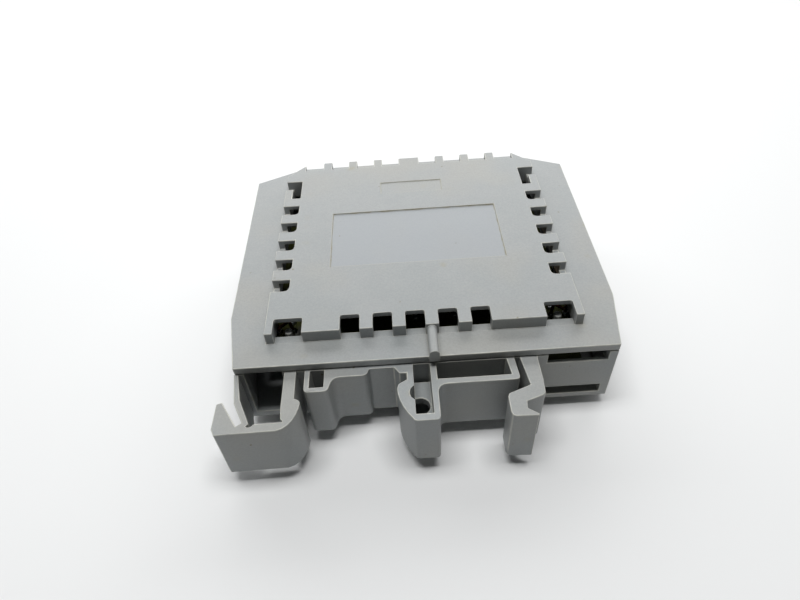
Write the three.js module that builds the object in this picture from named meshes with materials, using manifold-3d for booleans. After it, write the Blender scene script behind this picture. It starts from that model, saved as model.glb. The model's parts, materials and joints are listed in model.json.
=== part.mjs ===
// A slim electronics terminal housing for a 35 mm top-hat rail, lying on its side, in millimetres.
// X runs along the rail side, Y from the rail foot to the terminal face, Z through the thickness.
// The pieces are laid out with Y counted from the foot-side edge of the cover and Z from the lower
// outer face, and the assembly group then moves them so that the origin is the middle of the underside.
import * as THREE from "three";
import { mergeVertices } from "three/addons/utils/BufferGeometryUtils.js";
import Module from "manifold-3d";

const wasm = await Module();
wasm.setup();

// Thickness of the module and its walls
const thickness = 17.5;
const panelRise = 2.3;
const coverWall = 1.35;
const shellWall = 1.6;
const seamGap = 0.2;
const marginLow = panelRise;
const marginHigh = thickness - panelRise;
const rimHeight = marginHigh - coverWall - seamGap;
const floorHeight = marginLow + coverWall;

// Outline of both shells, mirrored about X = 0
const frontHalfWidth = 29.8;
const shoulderHalfWidth = 31.64;
const shoulderDepth = 10.68;
const backHalfWidth = 31.85;
const chamferDepth = 49.65;
const faceHalfWidth = 22.7;
const faceDepth = 53.9;

// Raised panel with its vents
const panelHalfWidth = 25.1;
const panelFront = 4.6;
const panelBack = 52.15;
const panelCornerCut = 4.15;
const panelSkin = 0.9;
const hollowFront = 6.1;
const ventPitch = 5.22;
const ventLength = 2.7;
const ventCount = 5;
const firstVent = 14.07;
const ventInner = 21.95;
const ventOuter = 24.0;
const ventRound = 0.9;
const ventLedge = 0.4;
const lastVentLength = 5.7;
const shelfDrop = 0.12;
const slotRound = 0.35;
const frontSlotPitch = 5.18;
const frontSlotWidth = 3.08;
const frontSlotStart = -13.19;
const frontSlotCount = 5;
const frontSlotBack = 7.72;
const cornerVent = [19.2, 23.8];

// Rail foot
const footLow = 3.0;
const footReach = 10.6;
const railSeat = -4.1;
const rootGap = 0.3;

// Terminals
const poleCount = 8;
const polePitch = 5.22;
const firstPole = 3.86;
const screwHeight = 10.9;
const wireHeight = 6.7;
const chamberHalfWidth = 1.8;
const screwRadius = 1.25;
const headRadius = 1.65;

// Circuit board
const boardHalfWidth = 25.6;
const boardLow = 6.9;
const boardHigh = 8.5;
const boardFront = 2.6;
const boardBack = 42.8;
const solderGap = 0.1;

// ---- Small solid modelling kit ----

function solidOf(geometry) {
  const bare = geometry.clone();
  bare.deleteAttribute("normal");
  bare.deleteAttribute("uv");
  const merged = mergeVertices(bare, 1e-4);
  return new wasm.Manifold(
    new wasm.Mesh({
      numProp: 3,
      vertProperties: new Float32Array(merged.attributes.position.array),
      triVerts: new Uint32Array(merged.index.array),
    }),
  );
}

function geometryOf(solid) {
  const mesh = solid.getMesh();
  const geometry = new THREE.BufferGeometry();
  geometry.setAttribute("position", new THREE.BufferAttribute(mesh.vertProperties, 3));
  geometry.setIndex(new THREE.BufferAttribute(mesh.triVerts, 1));
  geometry.computeVertexNormals();
  return geometry;
}

const middle = ([a, b]) => (a + b) / 2;
const length = ([a, b]) => Math.abs(b - a);
const sides = [-1, 1];
const steps = (count) => Array.from({ length: count }, (_, i) => i);

function box(x, y, z) {
  const geometry = new THREE.BoxGeometry(length(x), length(y), length(z));
  return solidOf(geometry.translate(middle(x), middle(y), middle(z)));
}

function prism(shape, z, curveSegments = 5) {
  const depth = length(z);
  const geometry = new THREE.ExtrudeGeometry(shape, { depth, curveSegments, bevelEnabled: false });
  return solidOf(geometry.translate(0, 0, Math.min(...z)));
}

// A round bar from one end to the other along Y or Z, at the two remaining coordinates
function barAlongY(radius, x, z, y, facets = 16, endRadius = radius) {
  const geometry = new THREE.CylinderGeometry(endRadius, radius, length(y), facets);
  return solidOf(geometry.translate(x, middle(y), z));
}

function barAlongZ(radius, x, y, z, facets = 16) {
  const geometry = new THREE.CylinderGeometry(radius, radius, length(z), facets).rotateX(Math.PI / 2);
  return solidOf(geometry.translate(x, y, middle(z)));
}

function barAlongX(radius, y, z, x, facets = 16) {
  const geometry = new THREE.CylinderGeometry(radius, radius, length(x), facets).rotateZ(Math.PI / 2);
  return solidOf(geometry.translate(middle(x), y, z));
}

const join = (first, ...rest) => rest.reduce((whole, piece) => whole.add(piece), first);
const cut = (whole, ...tools) => tools.reduce((left, tool) => left.subtract(tool), whole);
const mirrored = (side, [a, b]) => [side * a, side * b];
const polygon = (points) => new THREE.Shape(points.map(([x, y]) => new THREE.Vector2(x, y)));

// The convex outline of the shells, moved inwards by a distance
function shellOutline(inwards = 0) {
  const half = [
    [frontHalfWidth, 0],
    [shoulderHalfWidth, shoulderDepth],
    [backHalfWidth, chamferDepth],
    [faceHalfWidth, faceDepth],
  ];
  const otherHalf = half.map(([x, y]) => [-x, y]).reverse();
  const points = [...half, ...otherHalf].map(([x, y]) => new THREE.Vector2(x, y));
  const edges = points.map((from, i) => {
    const along = points[(i + 1) % points.length].clone().sub(from).normalize();
    const inner = new THREE.Vector2(-along.y, along.x);
    return { from: from.clone().addScaledVector(inner, inwards), along };
  });
  const corners = edges.map((edge, i) => {
    const before = edges[(i + edges.length - 1) % edges.length];
    const between = edge.from.clone().sub(before.from);
    const reach = between.cross(edge.along) / before.along.cross(edge.along);
    return before.from.clone().addScaledVector(before.along, reach);
  });
  return new THREE.Shape(corners);
}

const poles = steps(poleCount).map((i) => {
  const side = i < poleCount / 2 ? -1 : 1;
  const fromMiddle = side < 0 ? poleCount / 2 - 1 - i : i - poleCount / 2;
  return { number: i + 1, x: side * (firstPole + polePitch * fromMiddle) };
});

// ---- Vented side wall with its raised panel ----

// A side vent, rounded at its inner corner on the foot side
function sideVent(side, [near, far], z) {
  const vent = new THREE.Shape();
  vent.moveTo(side * (ventInner + ventRound), near);
  vent.lineTo(side * ventOuter, near);
  vent.lineTo(side * ventOuter, far);
  vent.lineTo(side * ventInner, far);
  vent.lineTo(side * ventInner, near + ventRound);
  vent.quadraticCurveTo(side * ventInner, near, side * (ventInner + ventRound), near);
  return prism(vent, z, 4);
}

// A slot open towards the foot, with its two far corners rounded
function roundedSlot([left, right], [near, far], z) {
  const slot = new THREE.Shape();
  slot.moveTo(left, near);
  slot.lineTo(right, near);
  slot.lineTo(right, far - slotRound);
  slot.quadraticCurveTo(right, far, right - slotRound, far);
  slot.lineTo(left + slotRound, far);
  slot.quadraticCurveTo(left, far, left, far - slotRound);
  return prism(slot, z, 3);
}

// The wall of one side: its margin level, and the direction that its panel rises in, +1 or -1
function ventedWall(margin, up) {
  const face = margin + up * panelRise;
  const inner = margin - up * coverWall;
  const through = [face + up, inner - up];
  const above = [margin, face + up];
  const aboveLedge = [margin + up * ventLedge, face + up];
  const shelf = [margin - up * shelfDrop, margin + up];
  const panel = prism(
    polygon([
      [-panelHalfWidth, panelFront],
      [panelHalfWidth, panelFront],
      [panelHalfWidth, panelBack - panelCornerCut],
      [panelHalfWidth - panelCornerCut, panelBack],
      [panelCornerCut - panelHalfWidth, panelBack],
      [-panelHalfWidth, panelBack - panelCornerCut],
    ]),
    [margin, face],
  );
  const frontSlots = steps(frontSlotCount).map((i) => {
    const start = frontSlotStart + frontSlotPitch * i;
    return [start, start + frontSlotWidth];
  });
  const lastFar = firstVent + ventPitch * ventCount + lastVentLength;
  const tools = [];
  for (const side of sides) {
    const toSide = (x) => mirrored(side, [x, panelHalfWidth + 1]);
    for (const i of steps(ventCount)) {
      const near = firstVent + ventPitch * i;
      const run = [near, near + ventLength];
      tools.push(sideVent(side, run, through));
      tools.push(box(toSide(ventOuter - 0.1), run, aboveLedge));
    }
    const lastHole = mirrored(side, [ventInner, ventOuter - 0.4]);
    tools.push(box(lastHole, [lastFar - lastVentLength, lastFar], through));
    tools.push(box(toSide(ventInner), [lastFar - ventLength, lastFar], aboveLedge));
    frontSlots.push(mirrored(side, cornerVent).sort((a, b) => a - b));
    tools.push(box(mirrored(side, [21.5, 17.8]), [49.7, panelBack + 1], above));
    for (const i of steps(3)) {
      const notch = 3.84 + polePitch * i;
      tools.push(box(mirrored(side, [notch - 1.75, notch + 1.75]), [49.7, panelBack + 1], above));
    }
  }
  for (const width of frontSlots) {
    tools.push(roundedSlot(width, [panelFront - 1, frontSlotBack], above));
    tools.push(box(width, [panelFront, hollowFront + 0.1], shelf));
  }
  const hollow = [inner - up, face - up * panelSkin];
  tools.push(box([-ventOuter, ventOuter], [hollowFront, lastFar], hollow));
  const labelFace = face - up * 0.25;
  tools.push(box([-15.2, 15.3], [19.36, 34.31], [labelFace, labelFace + up]));
  return cut(join(prism(shellOutline(), [margin, inner]), panel), ...tools);
}

function sideCover() {
  const wall = ventedWall(marginHigh, 1);
  const smallLabelFace = thickness - 0.15;
  const smallLabel = box([-6, 6], [40, 43.6], [smallLabelFace, thickness + 1]);
  const rib = new THREE.Shape();
  const ribHalfWidth = 0.78;
  const ribStraight = thickness - 0.25 - ribHalfWidth;
  rib.moveTo(-ribHalfWidth, marginHigh - 0.5);
  rib.lineTo(ribHalfWidth, marginHigh - 0.5);
  rib.lineTo(ribHalfWidth, ribStraight);
  rib.absarc(0, ribStraight, ribHalfWidth, 0, Math.PI, false);
  rib.closePath();
  const ribRun = [-0.7, panelFront + 0.5];
  const ribExtrusion = { depth: length(ribRun), curveSegments: 8, bevelEnabled: false };
  const ribGeometry = new THREE.ExtrudeGeometry(rib, ribExtrusion).rotateX(Math.PI / 2);
  const codingRib = solidOf(ribGeometry.translate(1.2, ribRun[1], 0));
  const pegs = bossCentres.map(([x, y]) => barAlongZ(1, x, y, [rimHeight - 3.5, rimHeight + 0.5]));
  return join(cut(wall, smallLabel), codingRib, ...pegs);
}

// ---- Base shell with the fixed half of the rail foot ----

const bossCentres = sides.flatMap((side) => [
  [side * 28.1, 13.2],
  [side * 28.3, 45.6],
]);
const postPlace = [22.1, 8.3];
const slotWall = 0.7;

function fixedFoot() {
  const foot = new THREE.Shape();
  foot.moveTo(-18.95, 1);
  foot.lineTo(-18.9, railSeat + 0.7);
  foot.quadraticCurveTo(-18.8, railSeat, -18.2, railSeat);
  foot.lineTo(-16, railSeat);
  foot.quadraticCurveTo(-15.1, railSeat, -15, -3.1);
  foot.quadraticCurveTo(-14.7, -1.6, -13.4, -1.6);
  foot.lineTo(-9.9, -1.6);
  foot.quadraticCurveTo(-9.2, -1.4, -9.1, -0.9);
  foot.quadraticCurveTo(-9.05, -0.4, -8.7, -0.4);
  foot.lineTo(-5.1, -0.4);
  foot.lineTo(-4.3, -1.6);
  foot.lineTo(-3.2, -1.6);
  foot.lineTo(-3.2, -2.8);
  foot.lineTo(-4.5, -3.55);
  foot.quadraticCurveTo(-4.85, -4.2, -4.75, -5);
  foot.quadraticCurveTo(-4.5, -7.6, -2.5, -10.05);
  foot.lineTo(-2.1, -10.25);
  foot.lineTo(0.8, -10.25);
  foot.quadraticCurveTo(1.35, -10.2, 1.36, -9.4);
  foot.lineTo(1.4, -5.5);
  foot.quadraticCurveTo(1.5, railSeat, 2.9, railSeat);
  foot.lineTo(12.6, railSeat);
  foot.lineTo(13.2, railSeat + 0.04);
  foot.quadraticCurveTo(13.8, railSeat, 13.8, -3.4);
  foot.lineTo(13.45, 1);
  const block = prism(foot, [footLow, rimHeight], 4);

  const channel = polygon([
    [1.45, -0.05],
    [12.3, -0.05],
    [12.65, -3.05],
    [1.45, -3.05],
  ]);
  const pocketFloor = 5;
  const open = rimHeight + 1;
  const webLow = 8.4;
  const webHigh = 9.9;
  const hookPocket = [-2.2, 0.42];
  const pocketRun = [-9.05, -0.05];
  const webHole = barAlongZ(1.5, -1.4, -5.3, [pocketFloor, open], 20);
  return cut(
    block,
    prism(channel, [pocketFloor, open]),
    box([-18.1, -15.9], [-3.25, -0.05], [pocketFloor, open]),
    box(hookPocket, pocketRun, [webHigh, open]),
    box(hookPocket, pocketRun, [pocketFloor, webLow]),
    box(hookPocket, [-0.75, -0.05], [webLow - 1, webHigh + 1]),
    webHole,
  );
}

function springHook() {
  const hook = polygon([
    [14.35, 1],
    [14.45, -0.5],
    [15.05, -5.2],
    [11.66, -6.5],
    [11.4, -7.1],
    [11.38, -9.7],
    [11.55, -10.25],
    [12, -10.5],
    [12.6, -10.53],
    [15.3, -footReach],
    [15.34, -10.3],
    [13.91, -9.3],
    [14.02, -8.1],
    [16.55, -7.2],
    [17.0, -6.75],
    [17.15, -4.3],
    [17.1, 1],
  ]);
  return prism(hook, [footLow - 0.4, rimHeight]);
}

function baseShell() {
  const walls = cut(
    prism(shellOutline(), [floorHeight - 0.5, rimHeight]),
    prism(shellOutline(shellWall), [floorHeight - 1, rimHeight + 1]),
  );
  const pillarRun = [floorHeight - 0.5, rimHeight - 0.3];
  const bosses = bossCentres.map(([x, y]) => barAlongZ(2.2, x, y, pillarRun));
  const bossBores = bossCentres.map(([x, y]) => barAlongZ(1.3, x, y, [rimHeight - 4.5, rimHeight + 1]));
  const postRun = [panelSkin - 0.3, rimHeight + 0.25];
  const posts = sides.map((side) => barAlongZ(0.7, side * postPlace[0], postPlace[1], postRun, 12));
  const ledgeHeight = [floorHeight - 0.5, boardLow - 0.1];
  const ledges = sides.flatMap((side) =>
    [19, 33].map((y) => box(mirrored(side, [24, 30.6]), [y, y + 1.6], ledgeHeight)),
  );
  const open = rimHeight + 1;
  const inside = [slotWall, shellWall + 0.1];
  const thinned = sides.map((side) => box(mirrored(side, [18.2, 28]), inside, [floorHeight, open]));
  const frontCuts = [-0.5, shellWall + 0.1];
  const sideSlots = [
    box([18.9, 28.4], frontCuts, [rimHeight - 2, open]),
    box([19.4, 28.4], frontCuts, [footLow + 0.35, footLow + 2.25]),
  ];
  const latchWindow = box([-28.4, -22.5], frontCuts, [floorHeight, open]);
  const windowRun = [faceDepth - shellWall - 1, faceDepth + 1];
  const faceWindows = sides.map((side) =>
    box(mirrored(side, [1.2, 22.2]), windowRun, [floorHeight + 0.3, rimHeight + 1]),
  );
  const lensHole = barAlongY(0.95, 0, 9, [faceDepth - 3, faceDepth + 1], 12);
  const foot = join(fixedFoot(), springHook());
  const shell = join(ventedWall(marginLow, -1), walls, foot, ...bosses, ...posts, ...ledges);
  return cut(shell, ...bossBores, ...thinned, ...sideSlots, latchWindow, ...faceWindows, lensHole);
}

// ---- Sprung foot latch ----

// A thin outer arm, a thick inner arm with the rail hook, a bar between them and a tab for a screwdriver
function footLatch() {
  const latch = new THREE.Shape();
  latch.moveTo(-29.98, -rootGap);
  latch.lineTo(-29.17, -5.15);
  latch.lineTo(-27.5, -8.7);
  latch.lineTo(-28.3, -9.2);
  latch.lineTo(-30.95, -4.9);
  latch.lineTo(-31.79, -5.15);
  latch.lineTo(-backHalfWidth, -9.45);
  latch.lineTo(-31.3, -10.58);
  latch.lineTo(-22.4, -10.42);
  latch.bezierCurveTo(-20.5, -10.15, -19.35, -7.9, -19.25, -5.95);
  latch.quadraticCurveTo(-19.3, -5.25, -20.17, -5.05);
  latch.lineTo(-20.25, -rootGap);
  latch.lineTo(-22.12, -rootGap);
  latch.lineTo(-22.1, -6.7);
  latch.lineTo(-21.93, -8.5);
  latch.lineTo(-21.6, -8.75);
  latch.lineTo(-21.6, -9);
  latch.lineTo(-25.7, -9.07);
  latch.quadraticCurveTo(-26.3, -9.85, -26.85, -9.35);
  latch.lineTo(-26.45, -8.95);
  latch.lineTo(-28.33, -4.6);
  latch.lineTo(-29.27, -rootGap);
  return prism(latch, [footLow, rimHeight - 0.05], 6);
}

// ---- Terminals ----

const chamberRun = [44.4, 50.2];
const headRun = [48.5, 50];
const jawRun = [45.2, 47.4];

function terminalBody(side) {
  const faceRun = [chamberRun[1] - 0.1, faceDepth + 1];
  const bodyHeight = [floorHeight + 0.6, rimHeight - 0.1];
  const body = box(mirrored(side, [1.5, 21.9]), [43.2, faceDepth - 0.1], bodyHeight);
  const own = poles.filter(({ x }) => x * side > 0);
  const tools = own.flatMap(({ x }) => [
    box([x - chamberHalfWidth, x + chamberHalfWidth], chamberRun, [4.8, rimHeight + 1]),
    barAlongY(1.5, x, screwHeight, faceRun),
    wireFunnel(x, [chamberRun[1] - 0.1, faceDepth]),
    box([x - 0.9, x + 0.9], [42, chamberRun[0] + 0.5], [boardHigh + 0.15, boardHigh + 1.1]),
  ]);
  return cut(body, ...tools);
}

// A square lead-in that narrows towards the clamp
function wireFunnel(x, run) {
  const corner = Math.SQRT2;
  const geometry = new THREE.CylinderGeometry(1.8 * corner, 1.4 * corner, length(run), 4);
  return solidOf(geometry.rotateY(Math.PI / 4).translate(x, middle(run), wireHeight));
}

// Slotted clamp screw, held against sliding by the wall in front of its head
function clampScrew(x) {
  const shank = barAlongY(screwRadius, x, screwHeight, [45.2, headRun[0] + 0.2], 14);
  const head = barAlongY(headRadius, x, screwHeight, headRun, 16, headRadius - 0.2);
  const slotRun = [headRun[1] - 0.7, headRun[1] + 1];
  const slot = box([x - 3, x + 3], slotRun, [screwHeight - 0.3, screwHeight + 0.3]);
  return cut(join(shank, head), slot);
}

// Threaded block that the screw draws forwards over the wire
function clampJaw(x) {
  const jaw = new THREE.Shape();
  jaw.moveTo(jawRun[0], 12.7);
  jaw.lineTo(jawRun[0], 8.9);
  jaw.lineTo(jawRun[1] - 0.6, 8.3);
  jaw.lineTo(jawRun[1], 8.9);
  jaw.lineTo(jawRun[1], 12.7);
  const bore = barAlongY(screwRadius + 0.15, x, screwHeight, [jawRun[0] - 1, jawRun[1] + 1]);
  return cut(profileAcross(jaw, x, 1.5), bore);
}

// A shape drawn in Y and Z, given a width about x
function profileAcross(shape, x, halfWidth) {
  const geometry = new THREE.ExtrudeGeometry(shape, {
    depth: 2 * halfWidth,
    curveSegments: 4,
    bevelEnabled: false,
  });
  const turn = new THREE.Matrix4().makeBasis(
    new THREE.Vector3(0, 1, 0),
    new THREE.Vector3(0, 0, 1),
    new THREE.Vector3(1, 0, 0),
  );
  return solidOf(geometry.applyMatrix4(turn).translate(x - halfWidth, 0, 0));
}

// Bent strip: a tray under the wire, an upright behind it and a tail that is soldered to the board
function contactStrip(x) {
  const strip = 0.4;
  const tail = [boardHigh + 0.4, boardHigh + 0.4 + strip];
  const upright = [chamberRun[0] + 0.1, chamberRun[0] + 0.1 + strip];
  const tray = box([x - 1.4, x + 1.4], [upright[0], chamberRun[1] - 0.3], [5.0, 5.0 + strip]);
  const riser = box([x - 1.4, x + 1.4], upright, [5.0, tail[1] - 1.2]);
  const neck = box([x - 0.6, x + 0.6], upright, [tail[0] - 1.5, tail[1]]);
  const reach = box([x - 0.6, x + 0.6], [39.6, upright[1]], tail);
  return join(tray, riser, neck, reach);
}

// ---- Circuit board and what it carries ----

function circuitBoard() {
  const board = box([-boardHalfWidth, boardHalfWidth], [boardFront, boardBack], [boardLow, boardHigh]);
  const cutRun = [boardLow - 1, boardHigh + 1];
  const holes = sides.map((side) => barAlongZ(1.05, side * postPlace[0], postPlace[1], cutRun, 12));
  const latchCorner = box([-boardHalfWidth - 1, -19.9], [boardFront - 1, 6.4], cutRun);
  return cut(board, ...holes, latchCorner);
}

// Round body with two bent leads that stand on the board
function axialPart(x, y, bodyRadius, bodyLength, leadSpan) {
  const height = boardHigh + bodyRadius + 0.3;
  const leadRadius = 0.35;
  const body = barAlongY(bodyRadius, x, height, [y - bodyLength / 2, y + bodyLength / 2], 12);
  const lead = barAlongY(leadRadius, x, height, [y - leadSpan / 2, y + leadSpan / 2], 6);
  const legs = sides.map((end) => {
    const top = height + leadRadius;
    return barAlongZ(leadRadius, x, y + (end * leadSpan) / 2, [boardHigh + solderGap, top], 6);
  });
  return join(body, lead, ...legs);
}

function powerRelay() {
  const relay = box([-10, 10], [25.5, 38], [boardHigh + 0.4, 15.7]);
  const footHeight = [boardHigh + solderGap, boardHigh + 1];
  const feet = sides.map((side) => box(mirrored(side, [7, 9]), [27, 36.5], footHeight));
  return join(relay, ...feet);
}

function storageCapacitor() {
  const height = boardHigh + 3.4;
  const can = barAlongX(3.1, 17.5, height, [-16.5, -6.5], 20);
  const plug = barAlongX(2.7, 17.5, height, [-6.8, -5.9], 20);
  const leads = [16.3, 18.7].map((y) => barAlongX(0.3, y, height, [-6.5, -4.2], 6));
  const legs = [16.3, 18.7].map((y) => barAlongZ(0.3, -4.2, y, [boardHigh + solderGap, height + 0.3], 6));
  return join(can, plug, ...leads, ...legs);
}

function optocoupler(x) {
  const body = box([x - 2.3, x + 2.3], [12.6, 18.8], [boardHigh + 0.6, boardHigh + 4]);
  const legs = [14.4, 17].flatMap((y) =>
    sides.map((side) => {
      const out = [x + side * 2, x + side * 3.6];
      const down = [x + side * 3.2, x + side * 3.6];
      const strip = [y - 0.4, y + 0.4];
      return join(
        box(out, strip, [boardHigh + 2, boardHigh + 2.3]),
        box(down, strip, [boardHigh + solderGap, boardHigh + 2.3]),
      );
    }),
  );
  return join(body, ...legs);
}

function varistorDisc(y) {
  const disc = barAlongX(2.9, y, boardHigh + 4.2, [14, 17], 18);
  const legRun = [boardHigh + solderGap, boardHigh + 3];
  const legs = sides.map((side) => barAlongZ(0.35, 15.5, y + side * 1.8, legRun, 6));
  return join(disc, ...legs);
}

// Bare copper link standing up from the board, folded into a V at its top
function copperLink(side) {
  const route = [
    [25.1, 13.2, boardHigh + solderGap],
    [25.15, 12.7, 11.1],
    [24.6, 11.3, 11.2],
    [23.1, 12.7, 11.1],
    [22.7, 13.2, boardHigh + solderGap],
  ].map(([x, y, z]) => new THREE.Vector3(side * x, y, z));
  const path = new THREE.CurvePath();
  route.slice(1).forEach((to, i) => path.add(new THREE.LineCurve3(route[i], to)));
  const wire = new THREE.Shape().absarc(0, 0, 0.3, 0, 2 * Math.PI, false);
  const sweep = { steps: 12, curveSegments: 4, extrudePath: path, bevelEnabled: false };
  return solidOf(new THREE.ExtrudeGeometry(wire, sweep));
}

function statusLens() {
  const stem = barAlongY(0.8, 0, 9, [faceDepth - 2.2, faceDepth - 0.05], 12);
  const lamp = barAlongY(1.3, 0, 9.9, [48.6, 51.9], 14);
  return join(stem, lamp);
}

// ---- Materials and assembly ----

function finish(color, roughness, metalness = 0) {
  return new THREE.MeshStandardMaterial({ color, roughness, metalness });
}
const housingPlastic = finish(0xb0b3b2, 0.55);
const terminalPlastic = finish(0x8d9191, 0.5);
const boardLaminate = finish(0x5f6b35, 0.45);
const zincSteel = finish(0xc4c7c9, 0.3, 0.9);
const tinnedBrass = finish(0xb9b49a, 0.35, 0.9);
const bareCopper = finish(0x9a5a3c, 0.4, 0.9);
const blackEpoxy = finish(0x1d1d1f, 0.5);
const sleeveFilm = finish(0x20304a, 0.4);
const discLacquer = finish(0x2d5f9e, 0.45);
const resistorLacquer = finish(0xc9a877, 0.5);
const lensAcrylic = finish(0x9e1f1a, 0.2);

const assembly = new THREE.Group();
assembly.position.set(0, (footReach - faceDepth) / 2, 0);

function addPiece(name, solid, material) {
  const mesh = new THREE.Mesh(geometryOf(solid), material);
  mesh.name = name;
  assembly.add(mesh);
}

addPiece("base_shell", baseShell(), housingPlastic);
addPiece("side_cover", sideCover(), housingPlastic);
addPiece("foot_latch", footLatch(), housingPlastic);
addPiece("terminal_body_left", terminalBody(-1), terminalPlastic);
addPiece("terminal_body_right", terminalBody(1), terminalPlastic);
for (const { number, x } of poles) {
  addPiece(`clamp_screw_${number}`, clampScrew(x), zincSteel);
  addPiece(`clamp_jaw_${number}`, clampJaw(x), zincSteel);
  addPiece(`contact_strip_${number}`, contactStrip(x), tinnedBrass);
}
addPiece("circuit_board", circuitBoard(), boardLaminate);
addPiece("power_relay", powerRelay(), blackEpoxy);
addPiece("storage_capacitor", storageCapacitor(), sleeveFilm);
addPiece("optocoupler_1", optocoupler(2.6), blackEpoxy);
addPiece("optocoupler_2", optocoupler(10.2), blackEpoxy);
addPiece("varistor_1", varistorDisc(28), discLacquer);
addPiece("varistor_2", varistorDisc(36), discLacquer);
[19.6, 31].forEach((y, i) => {
  addPiece(`diode_${i + 1}`, axialPart(-22.9, y, 1.3, 5.2, 9), blackEpoxy);
  addPiece(`resistor_${i + 1}`, axialPart(22.9, y, 1.2, 6.3, 9.4), resistorLacquer);
});
addPiece("copper_link_left", copperLink(-1), bareCopper);
addPiece("copper_link_right", copperLink(1), bareCopper);
addPiece("status_lens", statusLens(), lensAcrylic);

export default assembly;
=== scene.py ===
import json
import math

import bmesh
import bpy
from mathutils import Matrix, Vector
from mathutils.geometry import intersect_point_line


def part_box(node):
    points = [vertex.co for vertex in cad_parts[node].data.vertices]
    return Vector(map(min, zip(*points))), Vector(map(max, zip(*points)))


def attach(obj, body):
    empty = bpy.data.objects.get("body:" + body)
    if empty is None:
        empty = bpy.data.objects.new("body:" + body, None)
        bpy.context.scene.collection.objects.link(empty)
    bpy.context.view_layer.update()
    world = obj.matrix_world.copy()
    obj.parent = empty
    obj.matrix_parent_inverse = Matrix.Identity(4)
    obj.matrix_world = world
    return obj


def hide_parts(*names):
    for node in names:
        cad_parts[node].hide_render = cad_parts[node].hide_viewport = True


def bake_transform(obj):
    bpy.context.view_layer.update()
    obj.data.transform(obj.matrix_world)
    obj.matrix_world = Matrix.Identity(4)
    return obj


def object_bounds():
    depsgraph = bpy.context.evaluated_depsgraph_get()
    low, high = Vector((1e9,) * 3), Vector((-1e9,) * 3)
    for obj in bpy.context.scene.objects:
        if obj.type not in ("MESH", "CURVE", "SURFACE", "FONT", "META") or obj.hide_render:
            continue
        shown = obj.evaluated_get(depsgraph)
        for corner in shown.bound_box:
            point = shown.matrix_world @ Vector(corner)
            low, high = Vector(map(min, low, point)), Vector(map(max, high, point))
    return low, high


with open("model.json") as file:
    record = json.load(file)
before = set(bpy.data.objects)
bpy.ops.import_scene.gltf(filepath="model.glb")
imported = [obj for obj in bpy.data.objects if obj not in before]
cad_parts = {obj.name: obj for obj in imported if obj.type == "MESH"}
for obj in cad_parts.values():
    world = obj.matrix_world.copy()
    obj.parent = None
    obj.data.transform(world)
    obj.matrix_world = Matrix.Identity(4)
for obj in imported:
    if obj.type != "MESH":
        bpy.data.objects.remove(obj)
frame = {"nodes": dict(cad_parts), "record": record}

mm = 0.001
nodes = frame["nodes"]
cadLow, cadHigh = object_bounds()
middle = (cadLow + cadHigh) / 2
nodeSlot = {s["node"]: s["material_slot"] for s in frame["record"]["subparts"]}
nodeBody = {n: body for body, members in frame["record"]["behaviour"]["bodies"].items() for n in members}
ribProud = 0.7 * mm         # how far the rib of the cover stands out from the front wall
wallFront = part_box("side_cover")[0].y + ribProud
print("frame loaded:", len(nodes), "nodes, size in mm", [round(v / mm, 2) for v in cadHigh - cadLow])

camera = {
    "azimuth": 0.436,           # degrees round the module from straight in front of the foot
    "elevation": 45.477,
    "roll": -4.024,
    "distance": 99.518 * mm,
    "aim": (-3.529 * mm, -9.164 * mm, 6.45 * mm),       # from the middle of the module
    "lens": 26.762,             # both in millimetres
    "sensor": 36.0,
    "clip": (1 * mm, 10.0),
}


def makeCamera(c):
    turn = Matrix.Rotation(math.radians(c["azimuth"]), 3, "Z")
    turn = turn @ Matrix.Rotation(math.radians(90 - c["elevation"]), 3, "X")
    turn = turn @ Matrix.Rotation(math.radians(c["roll"]), 3, "Z")
    data = bpy.data.cameras.new("studioCamera")
    data.lens = c["lens"]
    data.sensor_width = c["sensor"]
    data.clip_start, data.clip_end = c["clip"]
    view = bpy.data.objects.new("studioCamera", data)
    bpy.context.scene.collection.objects.link(view)
    place = middle + Vector(c["aim"]) + turn @ Vector((0, 0, c["distance"]))
    view.matrix_world = Matrix.Translation(place) @ turn.to_4x4()
    bpy.context.scene.camera = view


makeCamera(camera)
print("camera placed")


def linear(hexColour):
    # an sRGB hex colour as the linear one that a shader takes
    parts = [int(hexColour[i : i + 2], 16) / 255 for i in (1, 3, 5)]
    return [p / 12.92 if p <= 0.04045 else ((p + 0.055) / 1.055) ** 2.4 for p in parts] + [1.0]


def addNode(tree, kind, inputs=None, **settings):
    # one node: its own settings, and for each input a value, or a socket or node to link from
    node = tree.nodes.new(kind)
    for name, value in settings.items():
        setattr(node, name, value)
    for name, value in (inputs or {}).items():
        if isinstance(value, bpy.types.Node):
            value = next(output for output in value.outputs if output.enabled)
        if isinstance(value, bpy.types.NodeSocket):
            tree.links.new(value, node.inputs[name])
        else:
            node.inputs[name].default_value = value
    return node


def newMaterial(name, uniform):
    # an empty material with its shader; uniform holds the values that sit on the shader's own sockets
    material = bpy.data.materials.new(name)
    material.use_nodes = True
    tree = material.node_tree
    tree.nodes.clear()
    shader = addNode(tree, "ShaderNodeBsdfPrincipled", uniform)
    addNode(tree, "ShaderNodeOutputMaterial", {"Surface": shader})
    return material, tree, shader


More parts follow.
